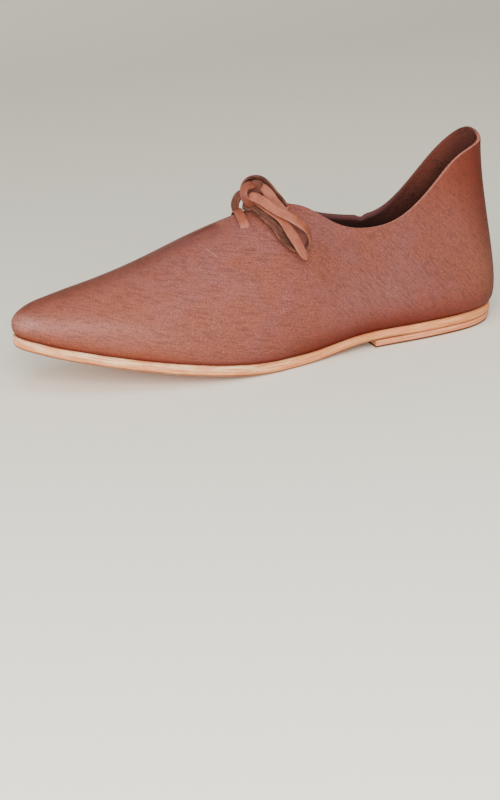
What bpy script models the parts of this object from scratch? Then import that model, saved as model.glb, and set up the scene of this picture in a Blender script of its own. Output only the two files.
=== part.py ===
"""Low medieval shoe for the left foot: a one-piece leather upper on a nailed leather sole.

The toe points along +X, the outer side of the foot lies at +Y and the floor is z = 0.
Sizes are in millimetres from the back edge of the sole, and become metres when a mesh is made.
"""
from collections import namedtuple

import bmesh
import bpy
import numpy as np

MM = 0.001
GAP = 0.3
SAME_POINT = 1e-7
SHARP_ANGLE = 0.7

# The origin lies on the floor under the middle of the heel, this far ahead of the back edge.
ORIGIN_FROM_BACK = 40.0

# Sole: thickness of its layers, thinner under the heel, and the height of its underside along the foot.
LIFT_THICK = 4.7
HEEL_THICK = 5.3
FORE_THICK = 6.5
INSOLE_THICK = 2.5
BREAST_X = 87.0
TREAD_BACK = 138.0
TREAD_FRONT = 152.0
TOE_X = 300.0
TOE_SPRING = 26.5
SPRING_POWER = 1.32

# Edge of each layer of the sole: share of its height, and how far it stands in from the outline.
OUTSOLE_EDGE = [(0.0, 1.0), (0.15, 0.2), (0.85, 0.0), (1.0, 0.5)]
LIFT_EDGE = [(0.0, 1.9), (0.15, 1.3), (0.85, 0.7), (1.0, 0.8)]
INSOLE_EDGE = [(0.0, 4.8), (1.0, 4.8)]

# Upper: leather thickness, its place on the sole and the fullness of its wall.
LEATHER = 2.4
EDGE_MARGIN = 1.6
TURN_IN = 9.0
REACH_SHARE = 0.36
SLIT_FRONT_X = 168.0

# Mesh density: columns on each side from toe to heel, and steps up the wall.
COLUMNS = 46
WALL_STEPS = 13

# Thong: a flat strip of leather. It passes through one slit on each side of the throat, whose ends lie
# at these runs from the toe and shares of the wall's height.
THONG_WIDTH = 5.6
THONG_THICK = 1.6
THONG_STEP = 2.4
TIP_WIDTH = 1.2
BAR_WIDTH = 5.4
SLIT_RUNS = (144.5, 149.5)
SLIT_SHARES = (0.89, 0.86)
SLIT_WIDTH = 1.0
SLIT_CUT = 8.0

# Knot on the instep, as a rounded body.
KNOT_AT = (148.4, 3.2, 95.0)
KNOT_RADII = (5.4, 5.4, 7.0)
KNOT_SIDES = 16
KNOT_RINGS = 9

# Base colour and roughness.
FINISHES = {
    "sole_leather": ((0.55, 0.30, 0.16), 0.6),
    "lift_leather": ((0.36, 0.15, 0.08), 0.6),
    "insole_leather": ((0.42, 0.25, 0.15), 0.7),
    "upper_leather": ((0.30, 0.10, 0.055), 0.5),
    "thong_leather": ((0.60, 0.30, 0.12), 0.55),
}

# One row for each section, from the toe to the heel back. The sole edge is at x, with its inner and
# outer side. The wall that rises from that edge ends on the ridge of the vamp, on the throat slit or
# on the collar rim, at top_x. Near the sole the wall is drawn outwards by its bulge, over a height of
# shoulder. upright says whether it ends flat on the ridge (0) or standing at the rim (1), and lean
# how far a standing wall leans in.
Section = namedtuple("Section", "x inner outer top_x inner_y inner_z outer_y outer_z "
                     "inner_bulge outer_bulge shoulder upright lean")
LAST = [
    Section(298.9, 0.0, 0.0, 287.5, 0.0, 50.1, 0.0, 50.1, 5.6, 5.6, 10.0, 0.0, 0.1),
    Section(297.0, -6.6, 7.5, 286.5, 0.0, 50.4, 0.0, 50.4, 5.6, 5.6, 10.0, 0.0, 0.1),
    Section(290.6, -12.8, 15.2, 283.0, 0.2, 51.6, 0.2, 51.6, 5.2, 5.2, 10.5, 0.0, 0.1),
    Section(281.0, -19.8, 23.4, 275.0, 0.4, 53.4, 0.4, 53.4, 5.0, 5.0, 11.0, 0.0, 0.1),
    Section(268.0, -25.9, 31.0, 262.5, 0.6, 56.0, 0.6, 56.0, 5.0, 5.0, 13.0, 0.0, 0.1),
    Section(252.0, -31.8, 38.6, 246.5, 0.8, 59.1, 0.8, 59.1, 6.0, 6.0, 15.0, 0.0, 0.1),
    Section(235.0, -36.3, 44.8, 228.0, 1.0, 63.6, 1.0, 63.6, 7.0, 7.0, 18.0, 0.0, 0.1),
    Section(217.0, -39.6, 50.2, 208.5, 1.2, 69.6, 1.2, 69.6, 7.0, 8.0, 20.0, 0.0, 0.1),
    Section(200.0, -41.1, 53.3, 190.0, 1.5, 75.9, 1.5, 75.9, 7.0, 8.0, 22.0, 0.0, 0.1),
    Section(184.0, -39.7, 54.4, 171.0, 2.0, 81.9, 2.0, 81.9, 10.0, 9.0, 24.0, 0.03, 0.1),
    Section(165.0, -35.0, 52.5, 151.5, 0.5, 86.8, 4.0, 87.0, 18.0, 12.0, 24.0, 0.14, 0.1),
    Section(145.0, -28.8, 48.0, 133.5, -3.0, 88.5, 7.5, 89.8, 26.0, 15.0, 24.0, 0.34, 0.1),
    Section(125.0, -23.7, 43.1, 118.0, -9.5, 83.5, 15.0, 87.0, 27.0, 16.0, 24.0, 0.60, 0.12),
    Section(105.0, -21.5, 39.2, 102.0, -16.0, 75.5, 22.5, 76.3, 25.0, 17.0, 23.0, 0.82, 0.12),
    Section(85.0, -21.9, 36.7, 84.0, -19.0, 70.3, 25.5, 71.9, 19.0, 16.0, 21.0, 0.94, 0.1),
    Section(60.0, -25.0, 35.6, 60.0, -18.0, 71.4, 24.5, 76.4, 13.0, 15.0, 18.0, 1.0, 0.1),
    Section(38.0, -26.8, 33.2, 38.0, -16.0, 89.6, 20.5, 91.4, 9.0, 14.0, 14.0, 1.0, 0.06),
    Section(18.5, -25.5, 27.6, 20.0, -12.8, 107.8, 15.5, 104.4, 9.0, 13.0, 8.0, 1.0, 0.0),
    Section(6.0, -19.3, 17.8, 6.0, -9.6, 116.2, 10.0, 109.0, 12.5, 12.5, 4.0, 1.0, -0.06),
    Section(0.0, 0.0, 0.0, -0.8, 0.0, 113.0, 0.0, 113.0, 13.0, 13.0, 2.0, 1.0, -0.08),
]

# Points along each stretch of the thong, the way its outer face looks there, and its width.
Strip = namedtuple("Strip", "x y z face_x face_y face_z width")
BAR = [
    Strip(158.3, 15.1, 83.4, 0.2, 0.5, 0.8, BAR_WIDTH),
    Strip(158.2, 11.4, 85.2, 0.2, 0.3, 0.9, BAR_WIDTH),
    Strip(157.7, 6.8, 86.7, 0.2, 0.2, 0.9, BAR_WIDTH),
    Strip(157.0, 2.3, 87.3, 0.2, 0.0, 0.9, BAR_WIDTH),
    Strip(156.2, -2.4, 86.9, 0.2, -0.2, 0.9, BAR_WIDTH),
    Strip(155.6, -6.1, 85.6, 0.2, -0.3, 0.9, BAR_WIDTH),
    Strip(155.4, -9.2, 83.9, 0.2, -0.5, 0.8, 5.0),
]
LOOP_LATERAL = [
    Strip(152.2, 9.2, 97.0, 0.3, 0.6, 0.7, 3.2),
    Strip(151.0, 10.4, 97.4, 0.3, 0.7, 0.6, 5.2),
    Strip(148.6, 12.4, 96.6, 0.3, 0.7, 0.6, THONG_WIDTH),
    Strip(144.3, 17.4, 93.6, 0.3, 0.7, 0.6, THONG_WIDTH),
    Strip(139.4, 23.2, 89.7, 0.2, 0.7, 0.6, THONG_WIDTH),
    Strip(134.2, 27.6, 86.5, 0.1, 0.7, 0.6, THONG_WIDTH),
    Strip(129.4, 29.4, 82.7, -0.2, 0.8, 0.6, THONG_WIDTH),
    Strip(125.8, 31.0, 78.9, -0.5, 0.7, 0.4, THONG_WIDTH),
    Strip(124.6, 32.8, 74.8, -0.8, 0.5, 0.2, THONG_WIDTH),
    Strip(125.6, 34.5, 71.2, -0.8, 0.2, -0.4, THONG_WIDTH),
    Strip(128.6, 36.2, 68.4, -0.4, 0.0, -0.9, THONG_WIDTH),
    Strip(133.2, 36.8, 67.9, 0.2, -0.1, -1.0, THONG_WIDTH),
    Strip(137.5, 34.8, 71.1, 0.4, -0.3, -0.9, THONG_WIDTH),
    Strip(140.3, 30.6, 75.9, 0.2, -0.5, -0.8, THONG_WIDTH),
    Strip(142.6, 24.9, 81.2, 0.0, -0.6, -0.8, THONG_WIDTH),
    Strip(145.2, 18.2, 85.9, -0.1, -0.6, -0.8, THONG_WIDTH),
    Strip(148.2, 11.8, 89.6, -0.2, -0.6, -0.8, THONG_WIDTH),
    Strip(149.6, 9.0, 90.8, -0.2, -0.5, -0.8, THONG_WIDTH),
]
LOOP_MEDIAL = [
    Strip(153.8, 0.8, 98.2, 0.9, -0.4, 0.1, THONG_WIDTH),
    Strip(152.6, 0.2, 102.2, 0.7, -0.5, 0.4, THONG_WIDTH),
    Strip(149.2, -0.6, 104.9, 0.2, -0.6, 0.7, THONG_WIDTH),
    Strip(144.8, -1.0, 105.4, -0.1, -0.6, 0.7, THONG_WIDTH),
    Strip(139.9, -1.2, 103.4, -0.3, -0.6, 0.7, THONG_WIDTH),
    Strip(136.9, -0.6, 100.3, -0.4, -0.6, 0.6, THONG_WIDTH),
    Strip(134.8, 2.0, 97.4, -0.5, -0.6, 0.5, THONG_WIDTH),
    Strip(133.4, 6.2, 94.8, -0.6, -0.5, 0.4, 5.4),
    Strip(132.2, 11.0, 92.4, -0.7, -0.4, 0.3, 5.0),
    Strip(131.4, 15.6, 90.0, -0.8, -0.1, 0.2, 4.4),
    Strip(132.0, 18.4, 88.1, -0.7, 0.4, 0.1, 4.2),
    Strip(133.6, 18.7, 87.9, -0.1, 0.8, 0.4, 4.6),
    Strip(135.4, 17.2, 89.4, 0.2, 0.8, 0.4, 5.4),
    Strip(137.2, 14.2, 91.9, 0.3, 0.8, 0.4, THONG_WIDTH),
    Strip(138.6, 10.6, 95.1, 0.3, 0.8, 0.4, THONG_WIDTH),
    Strip(140.0, 7.6, 98.0, 0.3, 0.8, 0.4, THONG_WIDTH),
    Strip(141.4, 5.4, 100.0, 0.3, 0.8, 0.5, 5.2),
    Strip(142.6, 3.2, 101.1, 0.4, 0.6, 0.7, 4.4),
]
END_LATERAL = [
    Strip(146.9, 9.1, 93.6, 0.1, 0.6, 0.8, 5.0),
    Strip(144.2, 14.8, 91.0, 0.1, 0.6, 0.8, THONG_WIDTH),
    Strip(141.0, 20.2, 87.9, 0.1, 0.6, 0.7, 5.4),
    Strip(137.9, 25.6, 83.9, 0.0, 0.7, 0.7, 5.0),
    Strip(135.6, 32.1, 78.4, 0.1, 0.8, 0.6, THONG_WIDTH),
    Strip(133.8, 38.2, 72.8, 0.0, 0.8, 0.5, THONG_WIDTH),
    Strip(132.6, 41.2, 68.6, -0.1, 0.9, 0.3, 5.6),
    Strip(131.3, 42.2, 65.2, -0.1, 0.9, 0.2, 4.0),
    Strip(130.6, 42.4, 63.4, -0.1, 0.9, 0.2, 1.6),
]
END_MEDIAL = [
    Strip(146.6, -2.2, 92.1, 0.1, -0.6, 0.8, THONG_WIDTH),
    Strip(145.4, -6.2, 89.4, 0.1, -0.6, 0.8, THONG_WIDTH),
    Strip(144.8, -11.4, 85.8, 0.1, -0.6, 0.8, THONG_WIDTH),
    Strip(144.1, -17.1, 81.2, 0.1, -0.7, 0.7, THONG_WIDTH),
    Strip(143.0, -22.6, 75.7, 0.0, -0.7, 0.7, THONG_WIDTH),
    Strip(142.0, -27.0, 70.0, 0.0, -0.8, 0.6, 5.6),
    Strip(141.0, -30.0, 65.0, -0.1, -0.8, 0.5, 4.4),
    Strip(140.6, -31.0, 63.0, -0.1, -0.8, 0.5, 2.4),
]


def spline(keys, rows, at):
    """Natural cubic curve through rows at rising keys: its values and slopes at the places asked for."""
    keys, rows, at = (np.asarray(values, float) for values in (keys, rows, at))
    count = len(keys)
    step = np.diff(keys)
    chord = np.diff(rows, axis=0) / step[:, None]
    system = np.eye(count)
    pull = np.zeros_like(rows)
    for i in range(1, count - 1):
        system[i, i - 1:i + 2] = step[i - 1], 2 * (step[i - 1] + step[i]), step[i]
        pull[i] = 6 * (chord[i] - chord[i - 1])
    bend = np.linalg.solve(system, pull)
    span = np.clip(np.searchsorted(keys, at, side="right") - 1, 0, count - 2)
    width = step[span][:, None]
    ahead = (at - keys[span])[:, None]
    behind = width - ahead
    value = ((bend[span] * behind ** 3 + bend[span + 1] * ahead ** 3) / (6 * width)
             + (rows[span] / width - bend[span] * width / 6) * behind
             + (rows[span + 1] / width - bend[span + 1] * width / 6) * ahead)
    slope = (chord[span] + bend[span] * (width / 6 - behind ** 2 / (2 * width))
             + bend[span + 1] * (ahead ** 2 / (2 * width) - width / 6))
    return value, slope


def unit(vectors):
    """The same directions with length 1."""
    return vectors / np.linalg.norm(vectors, axis=-1, keepdims=True)


def run_of_sections():
    """Distance of each section from the toe along the sole edge, as the mean of both sides."""
    inner = np.array([(row.x, row.inner) for row in LAST])
    outer = np.array([(row.x, row.outer) for row in LAST])
    steps = [np.linalg.norm(np.diff(side, axis=0), axis=1) for side in (inner, outer)]
    return np.concatenate([[0.0], np.cumsum(np.mean(steps, axis=0))])


RUN = run_of_sections()
HALF_RUN = RUN[-1]


def ring(places):
    """The table around the shoe, and its slope. A place is the run from the toe, positive along the
    outer side and negative along the inner side. Both reach the heel back at HALF_RUN."""
    shared = [(row.shoulder, row.upright, row.lean) for row in LAST]
    outer = [(row.x, row.outer, row.top_x, row.outer_y, row.outer_z, row.outer_bulge) for row in LAST]
    inner = [(row.x, row.inner, row.top_x, row.inner_y, row.inner_z, row.inner_bulge) for row in LAST]
    outer = [side + both for side, both in zip(outer, shared)]
    inner = [side + both for side, both in zip(inner, shared)]
    overlap = len(LAST) // 2
    past = list(range(len(LAST) - 2, len(LAST) - 2 - overlap, -1))
    rows = ([outer[i] for i in past[::-1]] + inner[:0:-1] + outer + [inner[i] for i in past])
    keys = np.concatenate([RUN[past[::-1]] - 2 * HALF_RUN, -RUN[:0:-1], RUN, 2 * HALF_RUN - RUN[past]])
    return spline(keys, rows, places)


def ease(share):
    """A smooth climb from 0 to 1, level at both ends."""
    share = np.clip(share, 0.0, 1.0)
    return share ** 2 * (3 - 2 * share)


def sole_bottom(x):
    """Height of the underside of the outsole."""
    shank = (LIFT_THICK + GAP) * ease((TREAD_BACK - x) / (TREAD_BACK - BREAST_X))
    rise = np.clip((x - TREAD_FRONT) / (TOE_X - TREAD_FRONT), 0.0, None)
    return shank + TOE_SPRING * rise ** SPRING_POWER


def sole_top(x):
    """Height of the upper face of the outsole."""
    share = ease((x - BREAST_X) / (TREAD_FRONT - BREAST_X))
    return sole_bottom(x) + HEEL_THICK + (FORE_THICK - HEEL_THICK) * share


def sole_edge(places, inset):
    """Points of the sole outline moved inwards by inset, and the outward direction at each."""
    value, slope = ring(places)
    outward = unit(np.stack([slope[:, 1], -slope[:, 0]], axis=1))
    return value[:, :2] - outward * inset, outward


def top_line(places):
    """Where the wall ends: on the ridge in front of the throat slit, on a rim behind it."""
    top = ring(places)[0][:, 2:5]
    twin = ring(-places)[0][:, 2:5]
    middle = (top + twin) / 2
    return np.where((np.abs(places) <= THROAT_RUN)[:, None], middle, top), middle


def column_places():
    """Places of the columns once around: toe, outer side, heel back, inner side."""
    side = np.arange(1, COLUMNS) * HALF_RUN / COLUMNS
    return np.concatenate([[0.0], side, [HALF_RUN], -side[::-1]])


def throat_run():
    """Place of the column whose wall ends at the front of the throat slit."""
    places = column_places()[:COLUMNS + 1]
    return places[np.argmin(np.abs(ring(places)[0][:, 2] - SLIT_FRONT_X))]


THROAT_RUN = throat_run()


def wall(places, shares):
    """Points on the outside of the upper, for each place and for each share of the wall's height."""
    value = ring(places)[0]
    top, middle = top_line(places)
    edge, outward = sole_edge(places, EDGE_MARGIN)
    foot = np.column_stack([edge, sole_top(edge[:, 0]) + GAP])
    out = np.column_stack([outward, np.zeros(len(edge))])
    up = np.array([0.0, 0.0, 1.0])
    bulge, shoulder_height, upright, lean = (value[:, i:i + 1] for i in range(5, 9))
    shoulder = foot + out * bulge + up * shoulder_height
    ridge = middle - top_line(np.abs(places) + HALF_RUN / COLUMNS)[1]
    drop = foot - top
    flat = drop.copy()
    flat[:, 2] = drop[:, 0] * ridge[:, 2] / ridge[:, 0]
    turn = unit(unit(flat) * (1 - upright) + (out * lean - up) * upright)
    crown = top + turn * REACH_SHARE * np.linalg.norm(drop, axis=1, keepdims=True)
    share = np.asarray(shares, float)[None, :, None]
    foot, shoulder, crown, top = (point[:, None, :] for point in (foot, shoulder, crown, top))
    return (foot * (1 - share) ** 3 + shoulder * 3 * share * (1 - share) ** 2
            + crown * 3 * share ** 2 * (1 - share) + top * share ** 3)


def material(name):
    """Plain leather of one colour."""
    colour, roughness = FINISHES[name]
    finish = bpy.data.materials.new(name)
    finish.use_nodes = True
    shader = finish.node_tree.nodes["Principled BSDF"]
    shader.inputs["Base Color"].default_value = (*colour, 1.0)
    shader.inputs["Roughness"].default_value = roughness
    finish.diffuse_color = (*colour, 1.0)
    return finish


def add_object(name, points, faces, finish):
    """One object from points in millimetres. Faces are turned outwards and equal points are joined."""
    mesh = bpy.data.meshes.new(name)
    shift = np.array([ORIGIN_FROM_BACK, 0.0, 0.0])
    mesh.from_pydata(((np.asarray(points) - shift) * MM).tolist(), [], faces)
    grid = bmesh.new()
    grid.from_mesh(mesh)
    bmesh.ops.remove_doubles(grid, verts=grid.verts, dist=SAME_POINT)
    grid.to_mesh(mesh)
    grid.free()
    mesh.shade_smooth()
    mesh.set_sharp_from_angle(angle=SHARP_ANGLE)
    mesh.materials.append(finish)
    part = bpy.data.objects.new(name, mesh)
    bpy.context.collection.objects.link(part)
    return part


def layer(name, places, edge, bottom, top, finish):
    """A layer of the sole: its outline at each step of its edge, closed above and below by strips
    that run across the foot. Places go round from the front of the outer side to the inner side."""
    count = len(places)
    points = []
    for share, inset in edge:
        outline = sole_edge(places, inset)[0]
        x = outline[:, 0]
        points.append(np.column_stack([outline, bottom(x) * (1 - share) + top(x) * share]))
    faces = []
    for i in range(len(edge) - 1):
        for j in range(count):
            after = (j + 1) % count
            faces.append((i * count + j, i * count + after, (i + 1) * count + after, (i + 1) * count + j))
    last = (len(edge) - 1) * count
    for j in range((count - 1) // 2):
        across = [j, j + 1, count - 2 - j, count - 1 - j]
        across = list(dict.fromkeys(across))
        faces.append(tuple(across[::-1]))
        faces.append(tuple(last + k for k in across))
    return add_object(name, np.concatenate(points), faces, finish)


def upper(finish):
    """The upper: its outside from the turned-in edge to the ridge and rim, thickened inwards."""
    places = column_places()
    rows = []
    for inset in (TURN_IN, TURN_IN / 2):
        edge = sole_edge(places, EDGE_MARGIN + inset)[0]
        rows.append(np.column_stack([edge, sole_top(edge[:, 0]) + GAP]))
    shares = np.linspace(0.0, 1.0, WALL_STEPS + 1)
    rows += list(wall(places, shares).transpose(1, 0, 2))
    count = len(places)
    faces = []
    for i in range(len(rows) - 1):
        for j in range(count):
            after = (j + 1) % count
            faces.append((i * count + j, i * count + after, (i + 1) * count + after, (i + 1) * count + j))
    part = add_object("upper", np.concatenate(rows), faces, finish)
    skin = part.modifiers.new("leather", "SOLIDIFY")
    skin.thickness = LEATHER * MM
    skin.offset = -1.0
    skin.use_even_offset = True
    for name, side in (("slit_outer", 1), ("slit_inner", -1)):
        cut = part.modifiers.new(name, "BOOLEAN")
        cut.operation = "DIFFERENCE"
        cut.solver = "EXACT"
        cut.object = slit(name, side, finish)
    return part


def strip(name, rows, thick, finish):
    """A flat strip through its rows, with a rectangular section and closed ends."""
    rows = np.array(rows)
    keys = np.concatenate([[0.0], np.cumsum(np.linalg.norm(np.diff(rows[:, :3], axis=0), axis=1))])
    count = round(keys[-1] / THONG_STEP) + 1
    value, slope = spline(keys, rows, np.linspace(0.0, keys[-1], count))
    along = unit(slope[:, :3])
    across = unit(np.cross(along, value[:, 3:6]))
    half = across * value[:, 6:] / 2
    rise = np.cross(across, along) * thick / 2
    corners = (half + rise, rise - half, -half - rise, half - rise)
    points = np.stack([value[:, :3] + corner for corner in corners], axis=1)
    sides = len(corners)
    faces = [tuple(range(sides)), tuple(range(count * sides - 1, (count - 1) * sides - 1, -1))]
    for i in range(0, (count - 1) * sides, sides):
        for j in range(sides):
            after = (j + 1) % sides
            faces.append((i + j, i + sides + j, i + sides + after, i + after))
    return add_object(name, points.reshape(-1, 3), faces, finish)


def slit(name, side, finish):
    """The cut for one slit, on the outer side (1) or on the inner side (-1) of the throat."""
    front, back = (wall(np.array([run * side]), [share])[0, 0] for run, share in zip(SLIT_RUNS, SLIT_SHARES))
    middle = (front + back) / 2
    length = np.linalg.norm(back - front)
    face = np.array([front[1] - back[1], back[0] - front[0], 0.0])
    drop = np.array([0.0, 0.0, SLIT_CUT])
    rows = [Strip(*at, *face, length) for at in (middle + drop, middle - drop)]
    cutter = strip(name, rows, SLIT_WIDTH, finish)
    cutter.hide_render = True
    cutter.display_type = "WIRE"
    return cutter


def knot(finish):
    """The knot, as a rounded body whose poles lie above and below."""
    turn = np.arange(KNOT_SIDES) * 2 * np.pi / KNOT_SIDES
    points = []
    for tilt in np.linspace(-np.pi / 2, np.pi / 2, KNOT_RINGS):
        level = np.full(KNOT_SIDES, np.sin(tilt))
        points.append(np.stack([np.cos(turn) * np.cos(tilt), np.sin(turn) * np.cos(tilt), level], axis=1))
    faces = []
    for i in range(KNOT_RINGS - 1):
        for j in range(KNOT_SIDES):
            after = (j + 1) % KNOT_SIDES
            below, above = i * KNOT_SIDES, (i + 1) * KNOT_SIDES
            faces.append((below + j, below + after, above + after, above + j))
    body = np.concatenate(points) * np.array(KNOT_RADII) + np.array(KNOT_AT)
    return add_object("lace_knot", body, faces, finish)


def heel_places():
    """Places of the heel lift's outline, from the breast edge of the outer side to the inner side."""
    places = column_places()[1:]
    x = ring(places)[0][:, 0]
    outer, inner = (np.interp(-BREAST_X, -x[side], places[side])
                    for side in (slice(None, COLUMNS), slice(None, COLUMNS - 2, -1)))
    return np.concatenate([[outer], places[(places > outer) | (places < inner)], [inner]])


def main():
    for old in list(bpy.data.objects):
        bpy.data.objects.remove(old, do_unlink=True)
    around = column_places()
    layer("outsole", around, OUTSOLE_EDGE, sole_bottom, sole_top, material("sole_leather"))
    layer("heel_lift", heel_places(), LIFT_EDGE, np.zeros_like, lambda x: np.full_like(x, LIFT_THICK),
          material("lift_leather"))
    seat = GAP + LEATHER + GAP
    layer("insole", around, INSOLE_EDGE, lambda x: sole_top(x) + seat,
          lambda x: sole_top(x) + seat + INSOLE_THICK, material("insole_leather"))
    upper(material("upper_leather"))
    thong = material("thong_leather")
    strip("lace_bar", BAR, THONG_THICK, thong)
    knot(thong)
    strip("lace_loop_lateral", LOOP_LATERAL, THONG_THICK, thong)
    strip("lace_loop_medial", LOOP_MEDIAL, THONG_THICK, thong)
    strip("lace_end_lateral", END_LATERAL, THONG_THICK, thong)
    strip("lace_end_medial", END_MEDIAL, THONG_THICK, thong)


main()
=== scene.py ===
"""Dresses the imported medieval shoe: leather, cut edges, nails and the tied thong, as in the photograph.

Sizes are in millimetres from the back edge of the sole, and become metres in the frame when a mesh is made.
"""
import math
from collections import namedtuple

import bmesh
import bpy
import numpy as np
from mathutils import Matrix, Vector


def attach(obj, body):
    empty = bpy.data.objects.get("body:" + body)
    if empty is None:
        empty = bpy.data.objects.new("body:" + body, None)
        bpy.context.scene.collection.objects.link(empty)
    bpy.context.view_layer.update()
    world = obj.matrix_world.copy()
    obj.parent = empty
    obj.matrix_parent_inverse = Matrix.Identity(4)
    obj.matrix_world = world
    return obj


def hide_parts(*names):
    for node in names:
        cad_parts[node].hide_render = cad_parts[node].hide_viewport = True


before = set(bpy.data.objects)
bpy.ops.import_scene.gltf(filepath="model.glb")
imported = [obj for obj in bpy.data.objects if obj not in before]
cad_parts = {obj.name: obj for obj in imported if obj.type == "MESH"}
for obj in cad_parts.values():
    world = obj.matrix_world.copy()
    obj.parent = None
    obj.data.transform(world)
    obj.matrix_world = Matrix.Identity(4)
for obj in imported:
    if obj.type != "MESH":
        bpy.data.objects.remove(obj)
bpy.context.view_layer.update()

MM = 0.001
GAP = 0.3
ORIGIN_FROM_BACK = 40.0

# Camera: the point that it looks at, its direction seen from there, and where that point is in the image.
AIM = (150.0, 0.0, 45.0)
CAMERA_DISTANCE = 1500.0
CAMERA_TURN = 18.0
CAMERA_RISE = 16.0
CAMERA_ROLL = -3.876
IMAGE_SIZE = (500, 800)
AIM_PIXEL = (252.92, 277.36)
PIXELS_PER_MM = 1.6715
SENSOR = 36.0

# Sole and upper, as in the solids.
LIFT_THICK = 4.7
HEEL_THICK = 5.3
FORE_THICK = 6.5
INSOLE_THICK = 2.5
BREAST_X = 87.0
TREAD_BACK = 138.0
TREAD_FRONT = 152.0
TOE_X = 300.0
TOE_SPRING = 26.5
SPRING_POWER = 1.32
LEATHER = 2.4
EDGE_MARGIN = 1.6
TURN_IN = 9.0
RIM_ROUND = 0.55
REACH_SHARE = 0.36
SLIT_FRONT_X = 168.0
COLUMNS = 46

# Finer mesh than the solids: columns for one of theirs, steps up the wall, and the angle of a sharp edge.
FINER = 4
WALL_STEPS = 64
SHARP_ANGLE = 50.0

# Edge of each layer of the sole: share of its height, and how far it stands in from the outline.
OUTSOLE_EDGE = [(0.0, 1.3), (0.05, 0.75), (0.12, 0.35), (0.22, 0.12), (0.4, 0.03), (0.6, 0.0), (0.8, 0.02),
                (0.9, 0.12), (0.96, 0.3), (1.0, 0.7)]
LIFT_EDGE = [(0.0, 2.2), (0.06, 1.7), (0.15, 1.4), (0.3, 1.2), (0.5, 1.0), (0.7, 0.85), (0.9, 0.72),
             (1.0, 0.9)]
INSOLE_EDGE = [(0.0, 5.0), (0.3, 4.8), (0.7, 4.8), (1.0, 5.6)]

# Thong: a flat strip of leather, the points and powers of its section, and the slits that it passes.
THONG_WIDTH = 6.0
THONG_THICK = 1.6
THONG_STEP = 0.8
STRIP_SIDES = 16
STRIP_FLATNESS = 0.35
STRIP_ROUNDNESS = 0.55
BAR_WIDTH = 5.4
KNOT_WIDTH = 9.0
SLIT_RUNS = (144.5, 149.5)
SLIT_SHARES = (0.89, 0.86)
SLIT_WIDTH = 1.0
SLIT_CUT = 8.0

# Nails: size of a head, distance from the sole's edge, how many there are, and the profile of a head.
NAIL_RADIUS = 1.6
NAIL_RISE = 0.3
NAIL_INSET = 5.7
SOLE_NAILS = 45
LIFT_NAILS = 20
NAIL_SIDES = 14
NAIL_DOME = [(1.0, -1.0), (1.0, 0.3), (0.9, 0.7), (0.6, 0.95), (0.3, 1.0)]

# Marks on the upper: a scratch in two stretches, a crease beside the toe, puckers at its edge, the seam.
SCRATCH = [((187.0, 13.2, 74.9), (182.4, 24.0, 71.2)), ((185.0, 18.9, 73.3), (179.3, 29.0, 68.5))]
SCRATCH_WIDTH = 0.6
TOE_CREASE = ((265.0, 31.6, 31.4), (255.5, 35.0, 34.6))
TOE_CREASE_WIDTH = 2.4
PUCKER_STEP = 3.4
PUCKER_RUN = 95.0
PUCKER_HEIGHT = 7.0
SEAM_RUN = -244.0
SEAM_DIP = 1.6

# Tints of the upper in the order in which they are laid on: tone of the mesh, share and display colour.
TINTS = [
    ("front", 0.6, (153, 91, 75)),
    ("quarter", 0.24, (102, 58, 47)),
    ("heel", 0.7, (162, 97, 78)),
    ("heel_glow", 1.0, (132, 66, 50)),
    # painted sheen: a pale pinkish patch low on the middle of the quarter
    ("mauve_sheen", 1.0, (146, 98, 100)),
    # painted shade: a darker red-brown band low on the rear of the upper, near the sole
    ("rear_low_shade", 1.0, (138, 55, 28)),
    # painted highlight: a pale band along the sides of the toe and vamp, brightest at the toe's tip
    ("toe_highlight", 1.0, (194, 142, 136)),
    ("toe_low", 1.0, (138, 68, 40)),
    # painted shade along the vamp's ridge, at the heel back and low near the sole, with a dark line where
    # the upper meets the sole
    ("dark", 1.0, (90, 16, 2)),
]

# Stage: a floor that reaches from in front of the shoe to a sweep behind it, and a wall above the sweep.
FLOOR_FRONT = 2500.0
FLOOR_BACK = -900.0
FLOOR_SIDE = 3500.0
SWEEP_RADIUS = 700.0
SWEEP_STEPS = 12
WALL_TOP = 3200.0

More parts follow.
